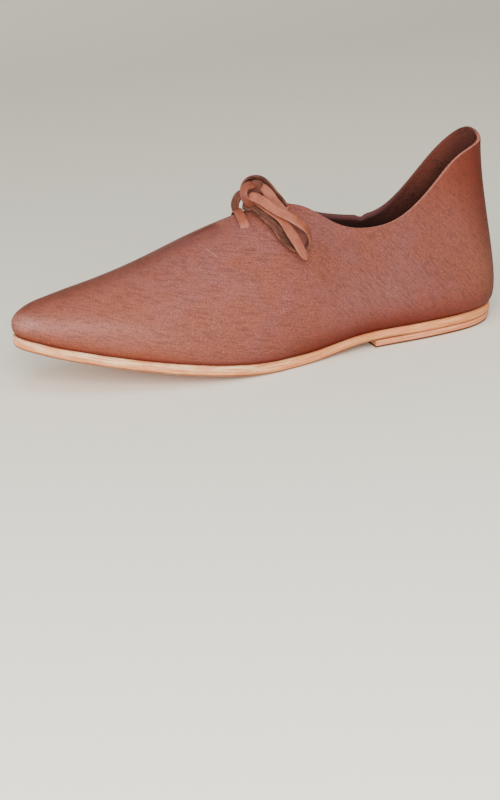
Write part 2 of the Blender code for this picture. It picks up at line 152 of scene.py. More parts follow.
# One row for each section, from the toe to the heel back, as in the solids.
Section = namedtuple("Section", "x inner outer top_x inner_y inner_z outer_y outer_z "
                     "inner_bulge outer_bulge shoulder upright lean")
LAST = [
    Section(298.9, 0.0, 0.0, 287.5, 0.0, 50.1, 0.0, 50.1, 5.6, 5.6, 10.0, 0.0, 0.1),
    Section(297.0, -6.6, 7.5, 286.5, 0.0, 50.4, 0.0, 50.4, 5.6, 5.6, 10.0, 0.0, 0.1),
    Section(290.6, -12.8, 15.2, 283.0, 0.2, 51.6, 0.2, 51.6, 5.2, 5.2, 10.5, 0.0, 0.1),
    Section(281.0, -19.8, 23.4, 275.0, 0.4, 53.4, 0.4, 53.4, 5.0, 5.0, 11.0, 0.0, 0.1),
    Section(268.0, -25.9, 31.0, 262.5, 0.6, 56.0, 0.6, 56.0, 5.0, 5.0, 13.0, 0.0, 0.1),
    Section(252.0, -31.8, 38.6, 246.5, 0.8, 59.1, 0.8, 59.1, 6.0, 6.0, 15.0, 0.0, 0.1),
    Section(235.0, -36.3, 44.8, 228.0, 1.0, 63.6, 1.0, 63.6, 7.0, 7.0, 18.0, 0.0, 0.1),
    Section(217.0, -39.6, 50.2, 208.5, 1.2, 69.6, 1.2, 69.6, 7.0, 8.0, 20.0, 0.0, 0.1),
    Section(200.0, -41.1, 53.3, 190.0, 1.5, 75.9, 1.5, 75.9, 7.0, 8.0, 22.0, 0.0, 0.1),
    Section(184.0, -39.7, 54.4, 171.0, 2.0, 81.9, 2.0, 81.9, 10.0, 9.0, 24.0, 0.03, 0.1),
    Section(165.0, -35.0, 52.5, 151.5, 0.5, 86.8, 4.0, 87.0, 18.0, 12.0, 24.0, 0.14, 0.1),
    Section(145.0, -28.8, 48.0, 133.5, -3.0, 88.5, 7.5, 89.8, 26.0, 15.0, 24.0, 0.34, 0.1),
    Section(125.0, -23.7, 43.1, 118.0, -9.5, 83.5, 15.0, 87.0, 27.0, 16.0, 24.0, 0.60, 0.12),
    Section(105.0, -21.5, 39.2, 102.0, -16.0, 75.5, 22.5, 76.3, 25.0, 17.0, 23.0, 0.82, 0.12),
    Section(85.0, -21.9, 36.7, 84.0, -19.0, 70.3, 25.5, 71.9, 19.0, 16.0, 21.0, 0.94, 0.1),
    Section(60.0, -25.0, 35.6, 60.0, -18.0, 71.4, 24.5, 76.4, 13.0, 15.0, 18.0, 1.0, 0.1),
    Section(38.0, -26.8, 33.2, 38.0, -16.0, 89.6, 20.5, 91.4, 9.0, 14.0, 14.0, 1.0, 0.06),
    Section(18.5, -25.5, 27.6, 20.0, -12.8, 107.8, 15.5, 104.4, 9.0, 13.0, 8.0, 1.0, 0.0),
    Section(6.0, -19.3, 17.8, 6.0, -9.6, 116.2, 10.0, 109.0, 12.5, 12.5, 4.0, 1.0, -0.06),
    Section(0.0, 0.0, 0.0, -0.8, 0.0, 113.0, 0.0, 113.0, 13.0, 13.0, 2.0, 1.0, -0.08),
]

# Points along each stretch of the thong, the way its outer face looks there, and its width.
Strip = namedtuple("Strip", "x y z face_x face_y face_z width")
BAR = [
    Strip(158.0, 16.9, 79.4, 0.2, 0.9, 0.3, 5.2),
    Strip(158.2, 16.5, 81.6, 0.2, 0.8, 0.5, 5.8),
    Strip(158.3, 15.1, 83.4, 0.2, 0.5, 0.8, 5.8),
    Strip(158.2, 11.4, 85.2, 0.2, 0.3, 0.9, BAR_WIDTH),
    Strip(157.7, 6.8, 86.7, 0.2, 0.2, 0.9, BAR_WIDTH),
    Strip(157.0, 2.3, 87.3, 0.2, 0.0, 0.9, BAR_WIDTH),
    Strip(156.2, -2.4, 86.9, 0.2, -0.2, 0.9, BAR_WIDTH),
    Strip(155.6, -6.1, 85.6, 0.2, -0.3, 0.9, BAR_WIDTH),
    Strip(155.4, -9.2, 83.9, 0.2, -0.5, 0.8, 5.0),
    Strip(155.6, -10.6, 82.0, 0.2, -0.8, 0.5, 4.6),
    Strip(155.8, -11.0, 79.6, 0.2, -0.9, 0.3, 4.6),
]
LOOP_LATERAL = [
    Strip(152.2, 9.2, 97.0, 0.3, 0.6, 0.7, 3.2),
    Strip(151.0, 10.4, 97.4, 0.3, 0.7, 0.6, 5.2),
    Strip(148.6, 12.4, 96.6, 0.3, 0.7, 0.6, THONG_WIDTH),
    Strip(144.3, 17.4, 93.6, 0.3, 0.7, 0.6, THONG_WIDTH),
    Strip(139.4, 23.2, 89.7, 0.2, 0.7, 0.6, THONG_WIDTH),
    Strip(134.2, 27.6, 86.5, 0.1, 0.7, 0.6, THONG_WIDTH),
    Strip(129.4, 29.4, 82.7, -0.2, 0.8, 0.6, THONG_WIDTH),
    Strip(125.8, 31.0, 78.9, -0.5, 0.7, 0.4, THONG_WIDTH),
    Strip(124.6, 32.8, 74.8, -0.8, 0.5, 0.2, THONG_WIDTH),
    Strip(125.6, 34.5, 71.2, -0.8, 0.2, -0.4, THONG_WIDTH),
    Strip(128.6, 36.2, 68.4, -0.4, 0.0, -0.9, THONG_WIDTH),
    Strip(133.2, 36.8, 67.9, 0.2, -0.1, -1.0, THONG_WIDTH),
    Strip(137.5, 34.8, 71.1, 0.4, -0.3, -0.9, THONG_WIDTH),
    Strip(140.3, 30.6, 75.9, 0.2, -0.5, -0.8, THONG_WIDTH),
    Strip(142.6, 24.9, 81.2, 0.0, -0.6, -0.8, THONG_WIDTH),
    Strip(145.2, 18.2, 85.9, -0.1, -0.6, -0.8, THONG_WIDTH),
    Strip(148.2, 11.8, 89.6, -0.2, -0.6, -0.8, THONG_WIDTH),
    Strip(149.6, 9.0, 90.8, -0.2, -0.5, -0.8, THONG_WIDTH),
]
LOOP_MEDIAL = [
    Strip(153.8, 0.8, 98.2, 0.9, -0.4, 0.1, THONG_WIDTH),
    Strip(152.6, 0.2, 102.2, 0.7, -0.5, 0.4, THONG_WIDTH),
    Strip(149.2, -0.6, 104.9, 0.2, -0.6, 0.7, THONG_WIDTH),
    Strip(144.8, -1.0, 105.4, -0.1, -0.6, 0.7, THONG_WIDTH),
    Strip(139.9, -1.2, 103.4, -0.3, -0.6, 0.7, THONG_WIDTH),
    Strip(136.9, -0.6, 100.3, -0.4, -0.6, 0.6, THONG_WIDTH),
    Strip(134.8, 2.0, 97.4, -0.5, -0.6, 0.5, THONG_WIDTH),
    Strip(133.4, 6.2, 94.8, -0.6, -0.5, 0.4, 5.4),
    Strip(132.2, 11.0, 92.4, -0.7, -0.4, 0.3, 5.0),
    Strip(131.4, 15.6, 90.0, -0.8, -0.1, 0.2, 4.4),
    Strip(132.0, 18.4, 88.1, -0.7, 0.4, 0.1, 4.2),
    Strip(133.6, 18.7, 87.9, -0.1, 0.8, 0.4, 4.6),
    Strip(135.4, 17.2, 89.4, 0.2, 0.8, 0.4, 5.4),
    Strip(137.2, 14.2, 91.9, 0.3, 0.8, 0.4, THONG_WIDTH),
    Strip(138.6, 10.6, 95.1, 0.3, 0.8, 0.4, THONG_WIDTH),
    Strip(140.0, 7.6, 98.0, 0.3, 0.8, 0.4, THONG_WIDTH),
    Strip(141.4, 5.4, 100.0, 0.3, 0.8, 0.5, 5.2),
    Strip(142.6, 3.2, 101.1, 0.4, 0.6, 0.7, 4.4),
]
END_LATERAL = [
    Strip(146.9, 9.1, 93.6, 0.1, 0.6, 0.8, 5.0),
    Strip(144.2, 14.8, 91.0, 0.1, 0.6, 0.8, THONG_WIDTH),
    Strip(141.0, 20.2, 87.9, 0.1, 0.6, 0.7, 5.4),
    Strip(137.9, 25.6, 83.9, 0.0, 0.7, 0.7, 5.0),
    Strip(135.6, 32.1, 78.4, 0.1, 0.8, 0.6, THONG_WIDTH),
    Strip(133.8, 38.2, 72.8, 0.0, 0.8, 0.5, THONG_WIDTH),
    Strip(132.6, 41.2, 68.6, -0.1, 0.9, 0.3, 5.6),
    Strip(131.3, 42.2, 65.2, -0.1, 0.9, 0.2, 4.0),
    Strip(130.6, 42.4, 63.4, -0.1, 0.9, 0.2, 1.6),
]
END_MEDIAL = [
    Strip(146.6, -2.2, 92.1, 0.1, -0.6, 0.8, THONG_WIDTH),
    Strip(145.4, -6.2, 89.4, 0.1, -0.6, 0.8, THONG_WIDTH),
    Strip(144.8, -11.4, 85.8, 0.1, -0.6, 0.8, THONG_WIDTH),
    Strip(144.1, -17.1, 81.2, 0.1, -0.7, 0.7, THONG_WIDTH),
    Strip(143.0, -22.6, 75.7, 0.0, -0.7, 0.7, THONG_WIDTH),
    Strip(142.0, -27.0, 70.0, 0.0, -0.8, 0.6, 5.6),
    Strip(141.0, -30.0, 65.0, -0.1, -0.8, 0.5, 4.4),
    Strip(140.6, -31.0, 63.0, -0.1, -0.8, 0.5, 2.4),
]
# The knot: a belt around it, a dark turn inside that fills the knot's hollow as painted shade, a band
# pulled up over both, and the rise from the throat.
KNOT_BELT = [
    Strip(152.0, -1.5, 90.6, -0.7, 0.6, -0.2, THONG_WIDTH),
    Strip(153.2, 3.5, 90.8, -1.0, -0.2, -0.1, THONG_WIDTH),
    Strip(151.4, 7.2, 91.0, -0.5, -0.9, -0.1, THONG_WIDTH),
    Strip(147.0, 8.6, 91.6, 0.1, -1.0, -0.1, THONG_WIDTH),
    Strip(143.0, 6.4, 92.6, 0.8, -0.6, -0.1, THONG_WIDTH),
    Strip(142.2, 2.0, 92.8, 1.0, 0.1, -0.1, THONG_WIDTH),
    Strip(145.0, -2.0, 91.6, 0.5, 0.9, -0.1, THONG_WIDTH),
]
KNOT_TURN = [
    Strip(153.4, 0.8, 97.6, -0.9, 0.2, 0.0, KNOT_WIDTH),
    Strip(153.8, 5.6, 98.4, -0.7, -0.7, 0.0, KNOT_WIDTH),
    Strip(149.8, 4.9, 100.0, 0.0, -1.0, 0.0, KNOT_WIDTH),
    Strip(145.6, 4.8, 99.8, 0.1, -1.0, 0.0, KNOT_WIDTH),
    Strip(142.4, 4.4, 98.8, 0.6, -0.7, 0.0, KNOT_WIDTH),
    Strip(141.4, 1.8, 98.8, 0.9, 0.2, 0.0, KNOT_WIDTH),
    Strip(144.6, -0.6, 99.8, 0.4, 0.9, 0.0, KNOT_WIDTH),
    Strip(149.4, -1.2, 97.8, -0.5, 0.8, 0.0, KNOT_WIDTH),
]
KNOT_BAND = [
    Strip(149.6, 8.8, 91.6, 0.1, 0.8, -0.6, 5.4),
    Strip(152.8, 9.0, 93.8, 0.5, 0.8, -0.3, 5.0),
    Strip(154.8, 8.6, 97.6, 0.7, 0.7, 0.1, 5.0),
    Strip(154.4, 7.6, 101.0, 0.6, 0.6, 0.5, 5.2),
    Strip(152.0, 6.6, 102.9, 0.3, 0.7, 0.6, 5.4),
    Strip(149.2, 5.8, 103.2, 0.0, 0.7, 0.7, 5.4),
    Strip(147.2, 4.4, 103.0, -0.4, 0.5, 0.7, 5.2),
    Strip(146.2, 1.8, 102.0, -0.8, 0.2, 0.5, 5.2),
    Strip(146.0, -0.6, 99.4, -0.9, 0.0, 0.2, 5.2),
]
KNOT_RISE = [
    Strip(156.6, -3.0, 85.4, -0.8, -0.5, -0.4, 4.6),
    Strip(157.4, -2.4, 88.8, -0.8, -0.5, -0.2, THONG_WIDTH),
    Strip(157.4, -1.0, 92.4, -0.8, -0.5, -0.3, THONG_WIDTH),
    Strip(155.8, 0.0, 95.8, -0.6, -0.5, -0.5, THONG_WIDTH),
    Strip(152.6, 1.4, 98.2, -0.4, -0.4, -0.8, THONG_WIDTH),
]


def srgb(red, green, blue):
    """Linear colour of a display colour given from 0 to 255, as a node socket takes it."""
    return (*((value / 255) ** 2.2 for value in (red, green, blue)), 1.0)


def spline(keys, rows, at):
    """Natural cubic curve through rows at rising keys: its values and slopes at the places asked for."""
    keys, rows, at = (np.asarray(values, float) for values in (keys, rows, at))
    count = len(keys)
    step = np.diff(keys)
    chord = np.diff(rows, axis=0) / step[:, None]
    system = np.eye(count)
    pull = np.zeros_like(rows)
    for i in range(1, count - 1):
        system[i, i - 1:i + 2] = step[i - 1], 2 * (step[i - 1] + step[i]), step[i]
        pull[i] = 6 * (chord[i] - chord[i - 1])
    bend = np.linalg.solve(system, pull)
    span = np.clip(np.searchsorted(keys, at, side="right") - 1, 0, count - 2)
    width = step[span][:, None]
    ahead = (at - keys[span])[:, None]
    behind = width - ahead
    value = ((bend[span] * behind ** 3 + bend[span + 1] * ahead ** 3) / (6 * width)
             + (rows[span] / width - bend[span] * width / 6) * behind
             + (rows[span + 1] / width - bend[span + 1] * width / 6) * ahead)
    slope = (chord[span] + bend[span] * (width / 6 - behind ** 2 / (2 * width))
             + bend[span + 1] * (ahead ** 2 / (2 * width) - width / 6))
    return value, slope


def unit(vectors):
    """The same directions with length 1."""
    return vectors / np.linalg.norm(vectors, axis=-1, keepdims=True)


def run_of_sections():
    """Distance of each section from the toe along the sole edge, as the mean of both sides."""
    inner = np.array([(row.x, row.inner) for row in LAST])
    outer = np.array([(row.x, row.outer) for row in LAST])
    steps = [np.linalg.norm(np.diff(side, axis=0), axis=1) for side in (inner, outer)]
    return np.concatenate([[0.0], np.cumsum(np.mean(steps, axis=0))])


RUN = run_of_sections()
HALF_RUN = RUN[-1]


def ring(places):
    """The table around the shoe, and its slope. A place is the run from the toe, positive along the
    outer side and negative along the inner side. Both reach the heel back at HALF_RUN."""
    shared = [(row.shoulder, row.upright, row.lean) for row in LAST]
    outer = [(row.x, row.outer, row.top_x, row.outer_y, row.outer_z, row.outer_bulge) for row in LAST]
    inner = [(row.x, row.inner, row.top_x, row.inner_y, row.inner_z, row.inner_bulge) for row in LAST]
    outer = [side + both for side, both in zip(outer, shared)]
    inner = [side + both for side, both in zip(inner, shared)]
    overlap = len(LAST) // 2
    past = list(range(len(LAST) - 2, len(LAST) - 2 - overlap, -1))
    rows = ([outer[i] for i in past[::-1]] + inner[:0:-1] + outer + [inner[i] for i in past])
    keys = np.concatenate([RUN[past[::-1]] - 2 * HALF_RUN, -RUN[:0:-1], RUN, 2 * HALF_RUN - RUN[past]])
    return spline(keys, rows, places)


def ease(share):
    """A smooth climb from 0 to 1, level at both ends."""
    share = np.clip(share, 0.0, 1.0)
    return share ** 2 * (3 - 2 * share)


def sole_bottom(x):
    """Height of the underside of the outsole."""
    shank = (LIFT_THICK + GAP) * ease((TREAD_BACK - x) / (TREAD_BACK - BREAST_X))
    rise = np.clip((x - TREAD_FRONT) / (TOE_X - TREAD_FRONT), 0.0, None)
    return shank + TOE_SPRING * rise ** SPRING_POWER


def sole_top(x):
    """Height of the upper face of the outsole."""
    share = ease((x - BREAST_X) / (TREAD_FRONT - BREAST_X))
    return sole_bottom(x) + HEEL_THICK + (FORE_THICK - HEEL_THICK) * share


def sole_edge(places, inset):
    """Points of the sole outline moved inwards by inset, and the outward direction at each."""
    value, slope = ring(places)
    outward = unit(np.stack([slope[:, 1], -slope[:, 0]], axis=1))
    return value[:, :2] - outward * inset, outward


def top_line(places):
    """Where the wall ends: on the ridge in front of the throat slit, on a rim behind it."""
    top = ring(places)[0][:, 2:5]
    twin = ring(-places)[0][:, 2:5]
    middle = (top + twin) / 2
    return np.where((np.abs(places) <= THROAT_RUN)[:, None], middle, top), middle


def column_places(count):
    """Places of the columns once around: toe, outer side, heel back, inner side."""
    side = np.arange(1, count) * HALF_RUN / count
    return np.concatenate([[0.0], side, [HALF_RUN], -side[::-1]])


def throat_run():
    """Place of the column whose wall ends at the front of the throat slit."""
    places = column_places(COLUMNS)[:COLUMNS + 1]
    return places[np.argmin(np.abs(ring(places)[0][:, 2] - SLIT_FRONT_X))]


THROAT_RUN = throat_run()


def wall(places, shares):
    """Points on the outside of the upper, for each place and for each share of the wall's height."""
    value = ring(places)[0]
    top, middle = top_line(places)
    edge, outward = sole_edge(places, EDGE_MARGIN)
    foot = np.column_stack([edge, sole_top(edge[:, 0]) + GAP])
    out = np.column_stack([outward, np.zeros(len(edge))])
    up = np.array([0.0, 0.0, 1.0])
    bulge, shoulder_height, upright, lean = (value[:, i:i + 1] for i in range(5, 9))
    shoulder = foot + out * bulge + up * shoulder_height
    ridge = middle - top_line(np.abs(places) + HALF_RUN / COLUMNS)[1]
    drop = foot - top
    flat = drop.copy()
    flat[:, 2] = drop[:, 0] * ridge[:, 2] / ridge[:, 0]
    turn = unit(unit(flat) * (1 - upright) + (out * lean - up) * upright)
    crown = top + turn * REACH_SHARE * np.linalg.norm(drop, axis=1, keepdims=True)
    share = np.asarray(shares, float)[None, :, None]
    foot, shoulder, crown, top = (point[:, None, :] for point in (foot, shoulder, crown, top))
    return (foot * (1 - share) ** 3 + shoulder * 3 * share * (1 - share) ** 2
            + crown * 3 * share ** 2 * (1 - share) + top * share ** 3)


def in_frame(points):
    """Millimetres from the back edge of the sole, as metres in the frame."""
    return (np.asarray(points, float) - np.array([ORIGIN_FROM_BACK, 0.0, 0.0])) * MM


# Material building blocks

def node(tree, kind, inputs=None, **settings):
    """A shader node with its settings and inputs. An input is a value or the output of another node."""
    made = tree.nodes.new(kind)
    for key, value in settings.items():
        setattr(made, key, value)
    for key, value in (inputs or {}).items():
        if isinstance(value, bpy.types.NodeSocket):
            tree.links.new(value, made.inputs[key])
        else:
            made.inputs[key].default_value = value
    return made


def new_material(name, **inputs):
    """A material with its node tree and shader, whose plain inputs are set by name."""
    finish = bpy.data.materials.new(name)
    finish.use_nodes = True
    shader = finish.node_tree.nodes["Principled BSDF"]
    for key, value in inputs.items():
        shader.inputs[key.replace("_", " ").title().replace("Ior", "IOR")].default_value = value
    return finish, finish.node_tree, shader


def millimetres(tree, stretch=(1.0, 1.0, 1.0), turn=(0.0, 0.0, 0.0)):
    """Place on the object in millimetres, stretched along its axes and turned by degrees."""
    place = node(tree, "ShaderNodeTexCoord").outputs["Object"]
    turned = node(tree, "ShaderNodeMapping",
                  {"Vector": place, "Rotation": [math.radians(angle) for angle in turn]})
    scale = [1 / (MM * part) for part in stretch]
    return node(tree, "ShaderNodeMapping", {"Vector": turned.outputs[0], "Scale": scale}).outputs[0]


def noise(tree, place, size, detail=3.0, roughness=0.55):
    """Cloudy pattern with features of that size in millimetres."""
    inputs = {"Vector": place, "Scale": 1 / size, "Detail": detail, "Roughness": roughness}
    return node(tree, "ShaderNodeTexNoise", inputs).outputs["Fac"]


def pebbles(tree, place, size):
    """Height of rounded grains of that size in millimetres, from 0 between them."""
    cells = node(tree, "ShaderNodeTexVoronoi", {"Vector": place, "Scale": 1 / size},
                 feature="DISTANCE_TO_EDGE").outputs["Distance"]
    return node(tree, "ShaderNodeMapRange", {"Value": cells, "From Max": 0.3},
                interpolation_type="SMOOTHSTEP").outputs["Result"]


def within(tree, value, low, high):
    """0 below the low value and 1 above the high one, smooth between. Low may lie above high."""
    return node(tree, "ShaderNodeMapRange", {"Value": value, "From Min": low, "From Max": high},
                interpolation_type="SMOOTHSTEP").outputs["Result"]


def math_node(tree, operation, first, second=0.0):
    """One sum on two values."""
    return node(tree, "ShaderNodeMath", {0: first, 1: second}, operation=operation).outputs[0]


def vector_node(tree, operation, output, first, second=(0.0, 0.0, 0.0)):
    """One sum on two vectors, or on the first, with the output that holds its result."""
    made = node(tree, "ShaderNodeVectorMath", {0: first, 1: second}, operation=operation)
    return made.outputs[output]


def mix(tree, share, first, second):
    """Two colours mixed by a share."""
    made = node(tree, "ShaderNodeMix", {"Factor": share}, data_type="RGBA")
    for socket, value in ((made.inputs[6], first), (made.inputs[7], second)):
        if isinstance(value, bpy.types.NodeSocket):
            tree.links.new(value, socket)
        else:
            socket.default_value = value
    return made.outputs[2]


def tone(tree, name):
    """A tone that the mesh carries at its points."""
    return node(tree, "ShaderNodeAttribute", attribute_name=name).outputs["Fac"]


def mark(tree, ends, width):
    """Share of a soft straight mark between two places on the object."""
    start, end = (Vector(in_frame(point)) for point in ends)
    length = (end - start).length
    along = (end - start) / length
    place = node(tree, "ShaderNodeTexCoord").outputs["Object"]
    offset = vector_node(tree, "SUBTRACT", "Vector", place, start)
    run = vector_node(tree, "DOT_PRODUCT", "Value", offset, along)
    side = vector_node(tree, "CROSS_PRODUCT", "Vector", offset, along)
    apart = vector_node(tree, "LENGTH", "Value", side)
    line = within(tree, apart, width * MM, 0.0)
    begun = within(tree, run, 0.0, length / 3)
    ending = within(tree, run, length, length * 2 / 3)
    return math_node(tree, "MULTIPLY", line, math_node(tree, "MULTIPLY", begun, ending))


def bump(tree, height, depth, below=None):
    """Normal of a relief with that depth in millimetres, laid over another relief."""
    inputs = {"Height": height, "Distance": depth * MM, "Strength": 1.0}
    if below is not None:
        inputs["Normal"] = below
    return node(tree, "ShaderNodeBump", inputs).outputs["Normal"]


# Materials

def upper_grain():
    """Outside of the upper: brown pebbled leather with fine wrinkles, tinted by place, with painted shade,
    a painted sheen and a painted highlight on the toe among its tints, drawn into small puckers at the
    toe's edge, with a scratch on the vamp and a seam on the inner side."""
    finish, tree, shader = new_material("upper_grain", specular_ior_level=0.12)
    place = millimetres(tree)
    clouds = noise(tree, place, 34.0, 3.0)
    patches = noise(tree, millimetres(tree, turn=(40.0, 0.0, 20.0)), 12.0, 3.0)
    specks = noise(tree, place, 1.3, 4.0, 0.7)
    grain = pebbles(tree, place, 1.15)
    hair = noise(tree, millimetres(tree, (1.0, 1.0, 5.0), (0.0, -40.0, 0.0)), 1.5, 3.0, 0.6)
    wrinkles = noise(tree, millimetres(tree, (8.0, 5.0, 1.0), (0.0, 12.0, 0.0)), 1.1, 3.0, 0.6)
    fine = node(tree, "ShaderNodeMix",
                {"Factor": tone(tree, "quarter"), "A": wrinkles, "B": hair}).outputs[0]
    brown = mix(tree, within(tree, clouds, 0.38, 0.62), srgb(138, 80, 68), srgb(140, 85, 81))
    warm = math_node(tree, "MULTIPLY", within(tree, patches, 0.45, 0.65), 0.36)
    brown = mix(tree, warm, brown, srgb(144, 78, 55))
    pale = math_node(tree, "MULTIPLY", within(tree, specks, 0.4, 0.75), 0.6)
    brown = mix(tree, pale, brown, srgb(176, 108, 96))
    # the tints lay on painted shade, a painted sheen and a painted highlight along with the leather's own
    # tones
    for name, share, colour in TINTS:
        brown = mix(tree, math_node(tree, "MULTIPLY", tone(tree, name), share), brown, srgb(*colour))
    valleys = math_node(tree, "MULTIPLY", math_node(tree, "SUBTRACT", 1.0, grain), 0.43)
    brown = mix(tree, valleys, brown, srgb(76, 47, 40))
    lines = math_node(tree, "MULTIPLY", within(tree, fine, 0.52, 0.36), 0.36)
    brown = mix(tree, lines, brown, srgb(80, 52, 46))
    first, second = (mark(tree, ends, SCRATCH_WIDTH) for ends in SCRATCH)
    worn = math_node(tree, "MULTIPLY", math_node(tree, "MAXIMUM", first, second), 0.55)
    brown = mix(tree, worn, brown, srgb(206, 150, 130))
    seam = within(tree, tone(tree, "seam"), 0.9, 0.2)
    brown = mix(tree, seam, brown, srgb(60, 24, 16))
    tree.links.new(brown, shader.inputs["Base Color"])
    rough = node(tree, "ShaderNodeMapRange", {"Value": specks, "To Min": 0.36, "To Max": 0.56}).outputs[0]
    tree.links.new(rough, shader.inputs["Roughness"])
    run = math_node(tree, "MULTIPLY", tone(tree, "run"), 2 * math.pi / PUCKER_STEP)
    wander = math_node(tree, "MULTIPLY", noise(tree, place, 9.0, 2.0), 9.0)
    pucker = math_node(tree, "SINE", math_node(tree, "ADD", run, wander))
    pucker = math_node(tree, "MULTIPLY", pucker, tone(tree, "pucker"))
    relief = bump(tree, clouds, 1.6)
    relief = bump(tree, mark(tree, TOE_CREASE, TOE_CREASE_WIDTH), -0.4, relief)
    relief = bump(tree, pucker, 0.14, relief)
    relief = bump(tree, seam, -0.5, relief)
    relief = bump(tree, fine, 0.6, relief)
    relief = bump(tree, specks, 0.14, relief)
    tree.links.new(bump(tree, grain, 0.16, relief), shader.inputs["Normal"])
    return finish


def upper_flesh():
    """Inside of the upper: dark napped flesh side, with painted shade deep in the shoe, towards the front
    of the inner side and inside the heel back.
    """
    finish, tree, shader = new_material("upper_flesh", roughness=0.95, specular_ior_level=0.2)
    place = millimetres(tree)
    nap = noise(tree, place, 1.2, 5.0, 0.7)
    patches = noise(tree, place, 18.0, 3.0)
    colour = mix(tree, within(tree, patches, 0.35, 0.7), srgb(52, 28, 23), srgb(90, 46, 37))
    colour = mix(tree, within(tree, nap, 0.35, 0.7), colour, srgb(94, 53, 45))
    # painted shade inside the shoe
    colour = mix(tree, tone(tree, "depth"), colour, srgb(28, 18, 17))
    colour = mix(tree, tone(tree, "rim"), colour, srgb(104, 66, 66))
    tree.links.new(colour, shader.inputs["Base Color"])
    tree.links.new(bump(tree, nap, 0.35), shader.inputs["Normal"])
    return finish


def cut_edge():
    """Cut edge of the upper at the collar: paler and fibrous on the outer side, dark on the inner side."""
    finish, tree, shader = new_material("cut_edge", roughness=0.75)
    place = millimetres(tree)
    fibre = noise(tree, place, 0.9, 4.0, 0.7)
    outer = within(tree, node(tree, "ShaderNodeSeparateXYZ", {"Vector": place}).outputs["Y"], -8.0, 6.0)
    pale = mix(tree, within(tree, fibre, 0.3, 0.7), srgb(130, 71, 57), srgb(166, 105, 89))
    dark = mix(tree, within(tree, fibre, 0.3, 0.7), srgb(60, 26, 22), srgb(100, 54, 46))
    tree.links.new(mix(tree, outer, dark, pale), shader.inputs["Base Color"])
    tree.links.new(bump(tree, fibre, 0.15), shader.inputs["Normal"])
    return finish


def sole_side(name, pale, warm, burnish_and_shadow):
    """Cut side of sole leather: pale, most of all in front, with fine layers along it. burnish_and_shadow
    gives how dark its lower edge is at the back and in front: burnish with a painted shadow along the
    floor."""
    finish, tree, shader = new_material(name, roughness=0.66, specular_ior_level=0.3)
    place = millimetres(tree)
    level = tone(tree, "level")
    edge = node(tree, "ShaderNodeCombineXYZ", {"X": tone(tree, "run"), "Y": level, "Z": 0.0}).outputs[0]
    edge = node(tree, "ShaderNodeMapping", {"Vector": edge, "Scale": (0.05, 1.0, 1.0)}).outputs[0]
    layers = noise(tree, edge, 0.9, 4.0, 0.6)
    blotch = noise(tree, place, 11.0, 3.0)
    fibre = noise(tree, place, 0.9, 3.0, 0.7)
    place_x = node(tree, "ShaderNodeSeparateXYZ", {"Vector": place}).outputs["X"]
    ahead = within(tree, place_x, 90.0, 140.0)
    front = mix(tree, within(tree, level, 2.4, 4.2), srgb(236, 172, 122), srgb(242, 208, 164))
    pale = mix(tree, ahead, pale, front)
    colour = mix(tree, within(tree, layers, 0.35, 0.65), warm, pale)
    stain = math_node(tree, "MULTIPLY", within(tree, blotch, 0.48, 0.75), 0.7)
    colour = mix(tree, stain, colour, srgb(210, 128, 90))
    pits = math_node(tree, "MULTIPLY", within(tree, fibre, 0.46, 0.28), 0.55)
    colour = mix(tree, pits, colour, srgb(150, 78, 44))
    share = node(tree, "ShaderNodeMix",
                 {"Factor": within(tree, place_x, 15.0, 35.0), "A": burnish_and_shadow[0], "B": burnish_and_shadow[1]}).outputs[0]
    # the lower edge darkened: burnish, with painted shadow where the sole meets the floor
    burnish_and_shadow_share = math_node(tree, "MULTIPLY", within(tree, level, 1.9, 1.1), share)
    colour = mix(tree, burnish_and_shadow_share, colour, srgb(66, 30, 22))
    tree.links.new(colour, shader.inputs["Base Color"])
    tree.links.new(bump(tree, fibre, 0.25, bump(tree, layers, 0.25)), shader.inputs["Normal"])
    return finish


def sole_face(name, light, dark):
    """Smooth grain face of sole leather, scuffed by wear."""
    finish, tree, shader = new_material(name, coat_weight=0.1, coat_roughness=0.4)
    place = millimetres(tree)
    clouds = noise(tree, place, 30.0, 4.0, 0.6)
    scuffs = noise(tree, millimetres(tree, (7.0, 1.0, 1.0), (0.0, 0.0, 24.0)), 1.6, 4.0, 0.7)
    colour = mix(tree, within(tree, clouds, 0.35, 0.68), dark, light)
    worn = math_node(tree, "MULTIPLY", within(tree, scuffs, 0.56, 0.8), 0.5)
    colour = mix(tree, worn, colour, srgb(206, 138, 92))
    tree.links.new(colour, shader.inputs["Base Color"])
    rough = node(tree, "ShaderNodeMapRange", {"Value": scuffs, "To Min": 0.4, "To Max": 0.7}).outputs[0]
    tree.links.new(rough, shader.inputs["Roughness"])
    tree.links.new(bump(tree, scuffs, 0.12), shader.inputs["Normal"])
    return finish


def thong_face(name, light, dark, fibre_colour, fibre_share, nap_depth, roughness):
    """One face of the thong, with fine fibres along it: smooth grain outside, rougher inside."""
    finish, tree, shader = new_material(name, roughness=roughness)
    place = millimetres(tree)
    lengthwise = node(tree, "ShaderNodeCombineXYZ",
                      {"X": tone(tree, "across"), "Y": tone(tree, "along"), "Z": 0.0}).outputs[0]
    stretched = node(tree, "ShaderNodeMapping",
                     {"Vector": lengthwise, "Scale": (1.0, 0.12, 1.0)}).outputs[0]
    fibre = noise(tree, stretched, 0.8, 3.0, 0.6)
    patches = noise(tree, place, 7.0, 3.0)
    nap = noise(tree, place, 0.7, 4.0, 0.65)
    colour = mix(tree, within(tree, patches, 0.3, 0.7), dark, light)
    streak = math_node(tree, "MULTIPLY", within(tree, fibre, 0.42, 0.68), fibre_share)
    colour = mix(tree, streak, colour, fibre_colour)
    shade = math_node(tree, "MULTIPLY", within(tree, nap, 0.7, 0.3), 0.35)
    colour = mix(tree, shade, colour, srgb(104, 54, 36))
    tree.links.new(colour, shader.inputs["Base Color"])
    tree.links.new(bump(tree, nap, nap_depth, bump(tree, fibre, nap_depth)), shader.inputs["Normal"])
    return finish


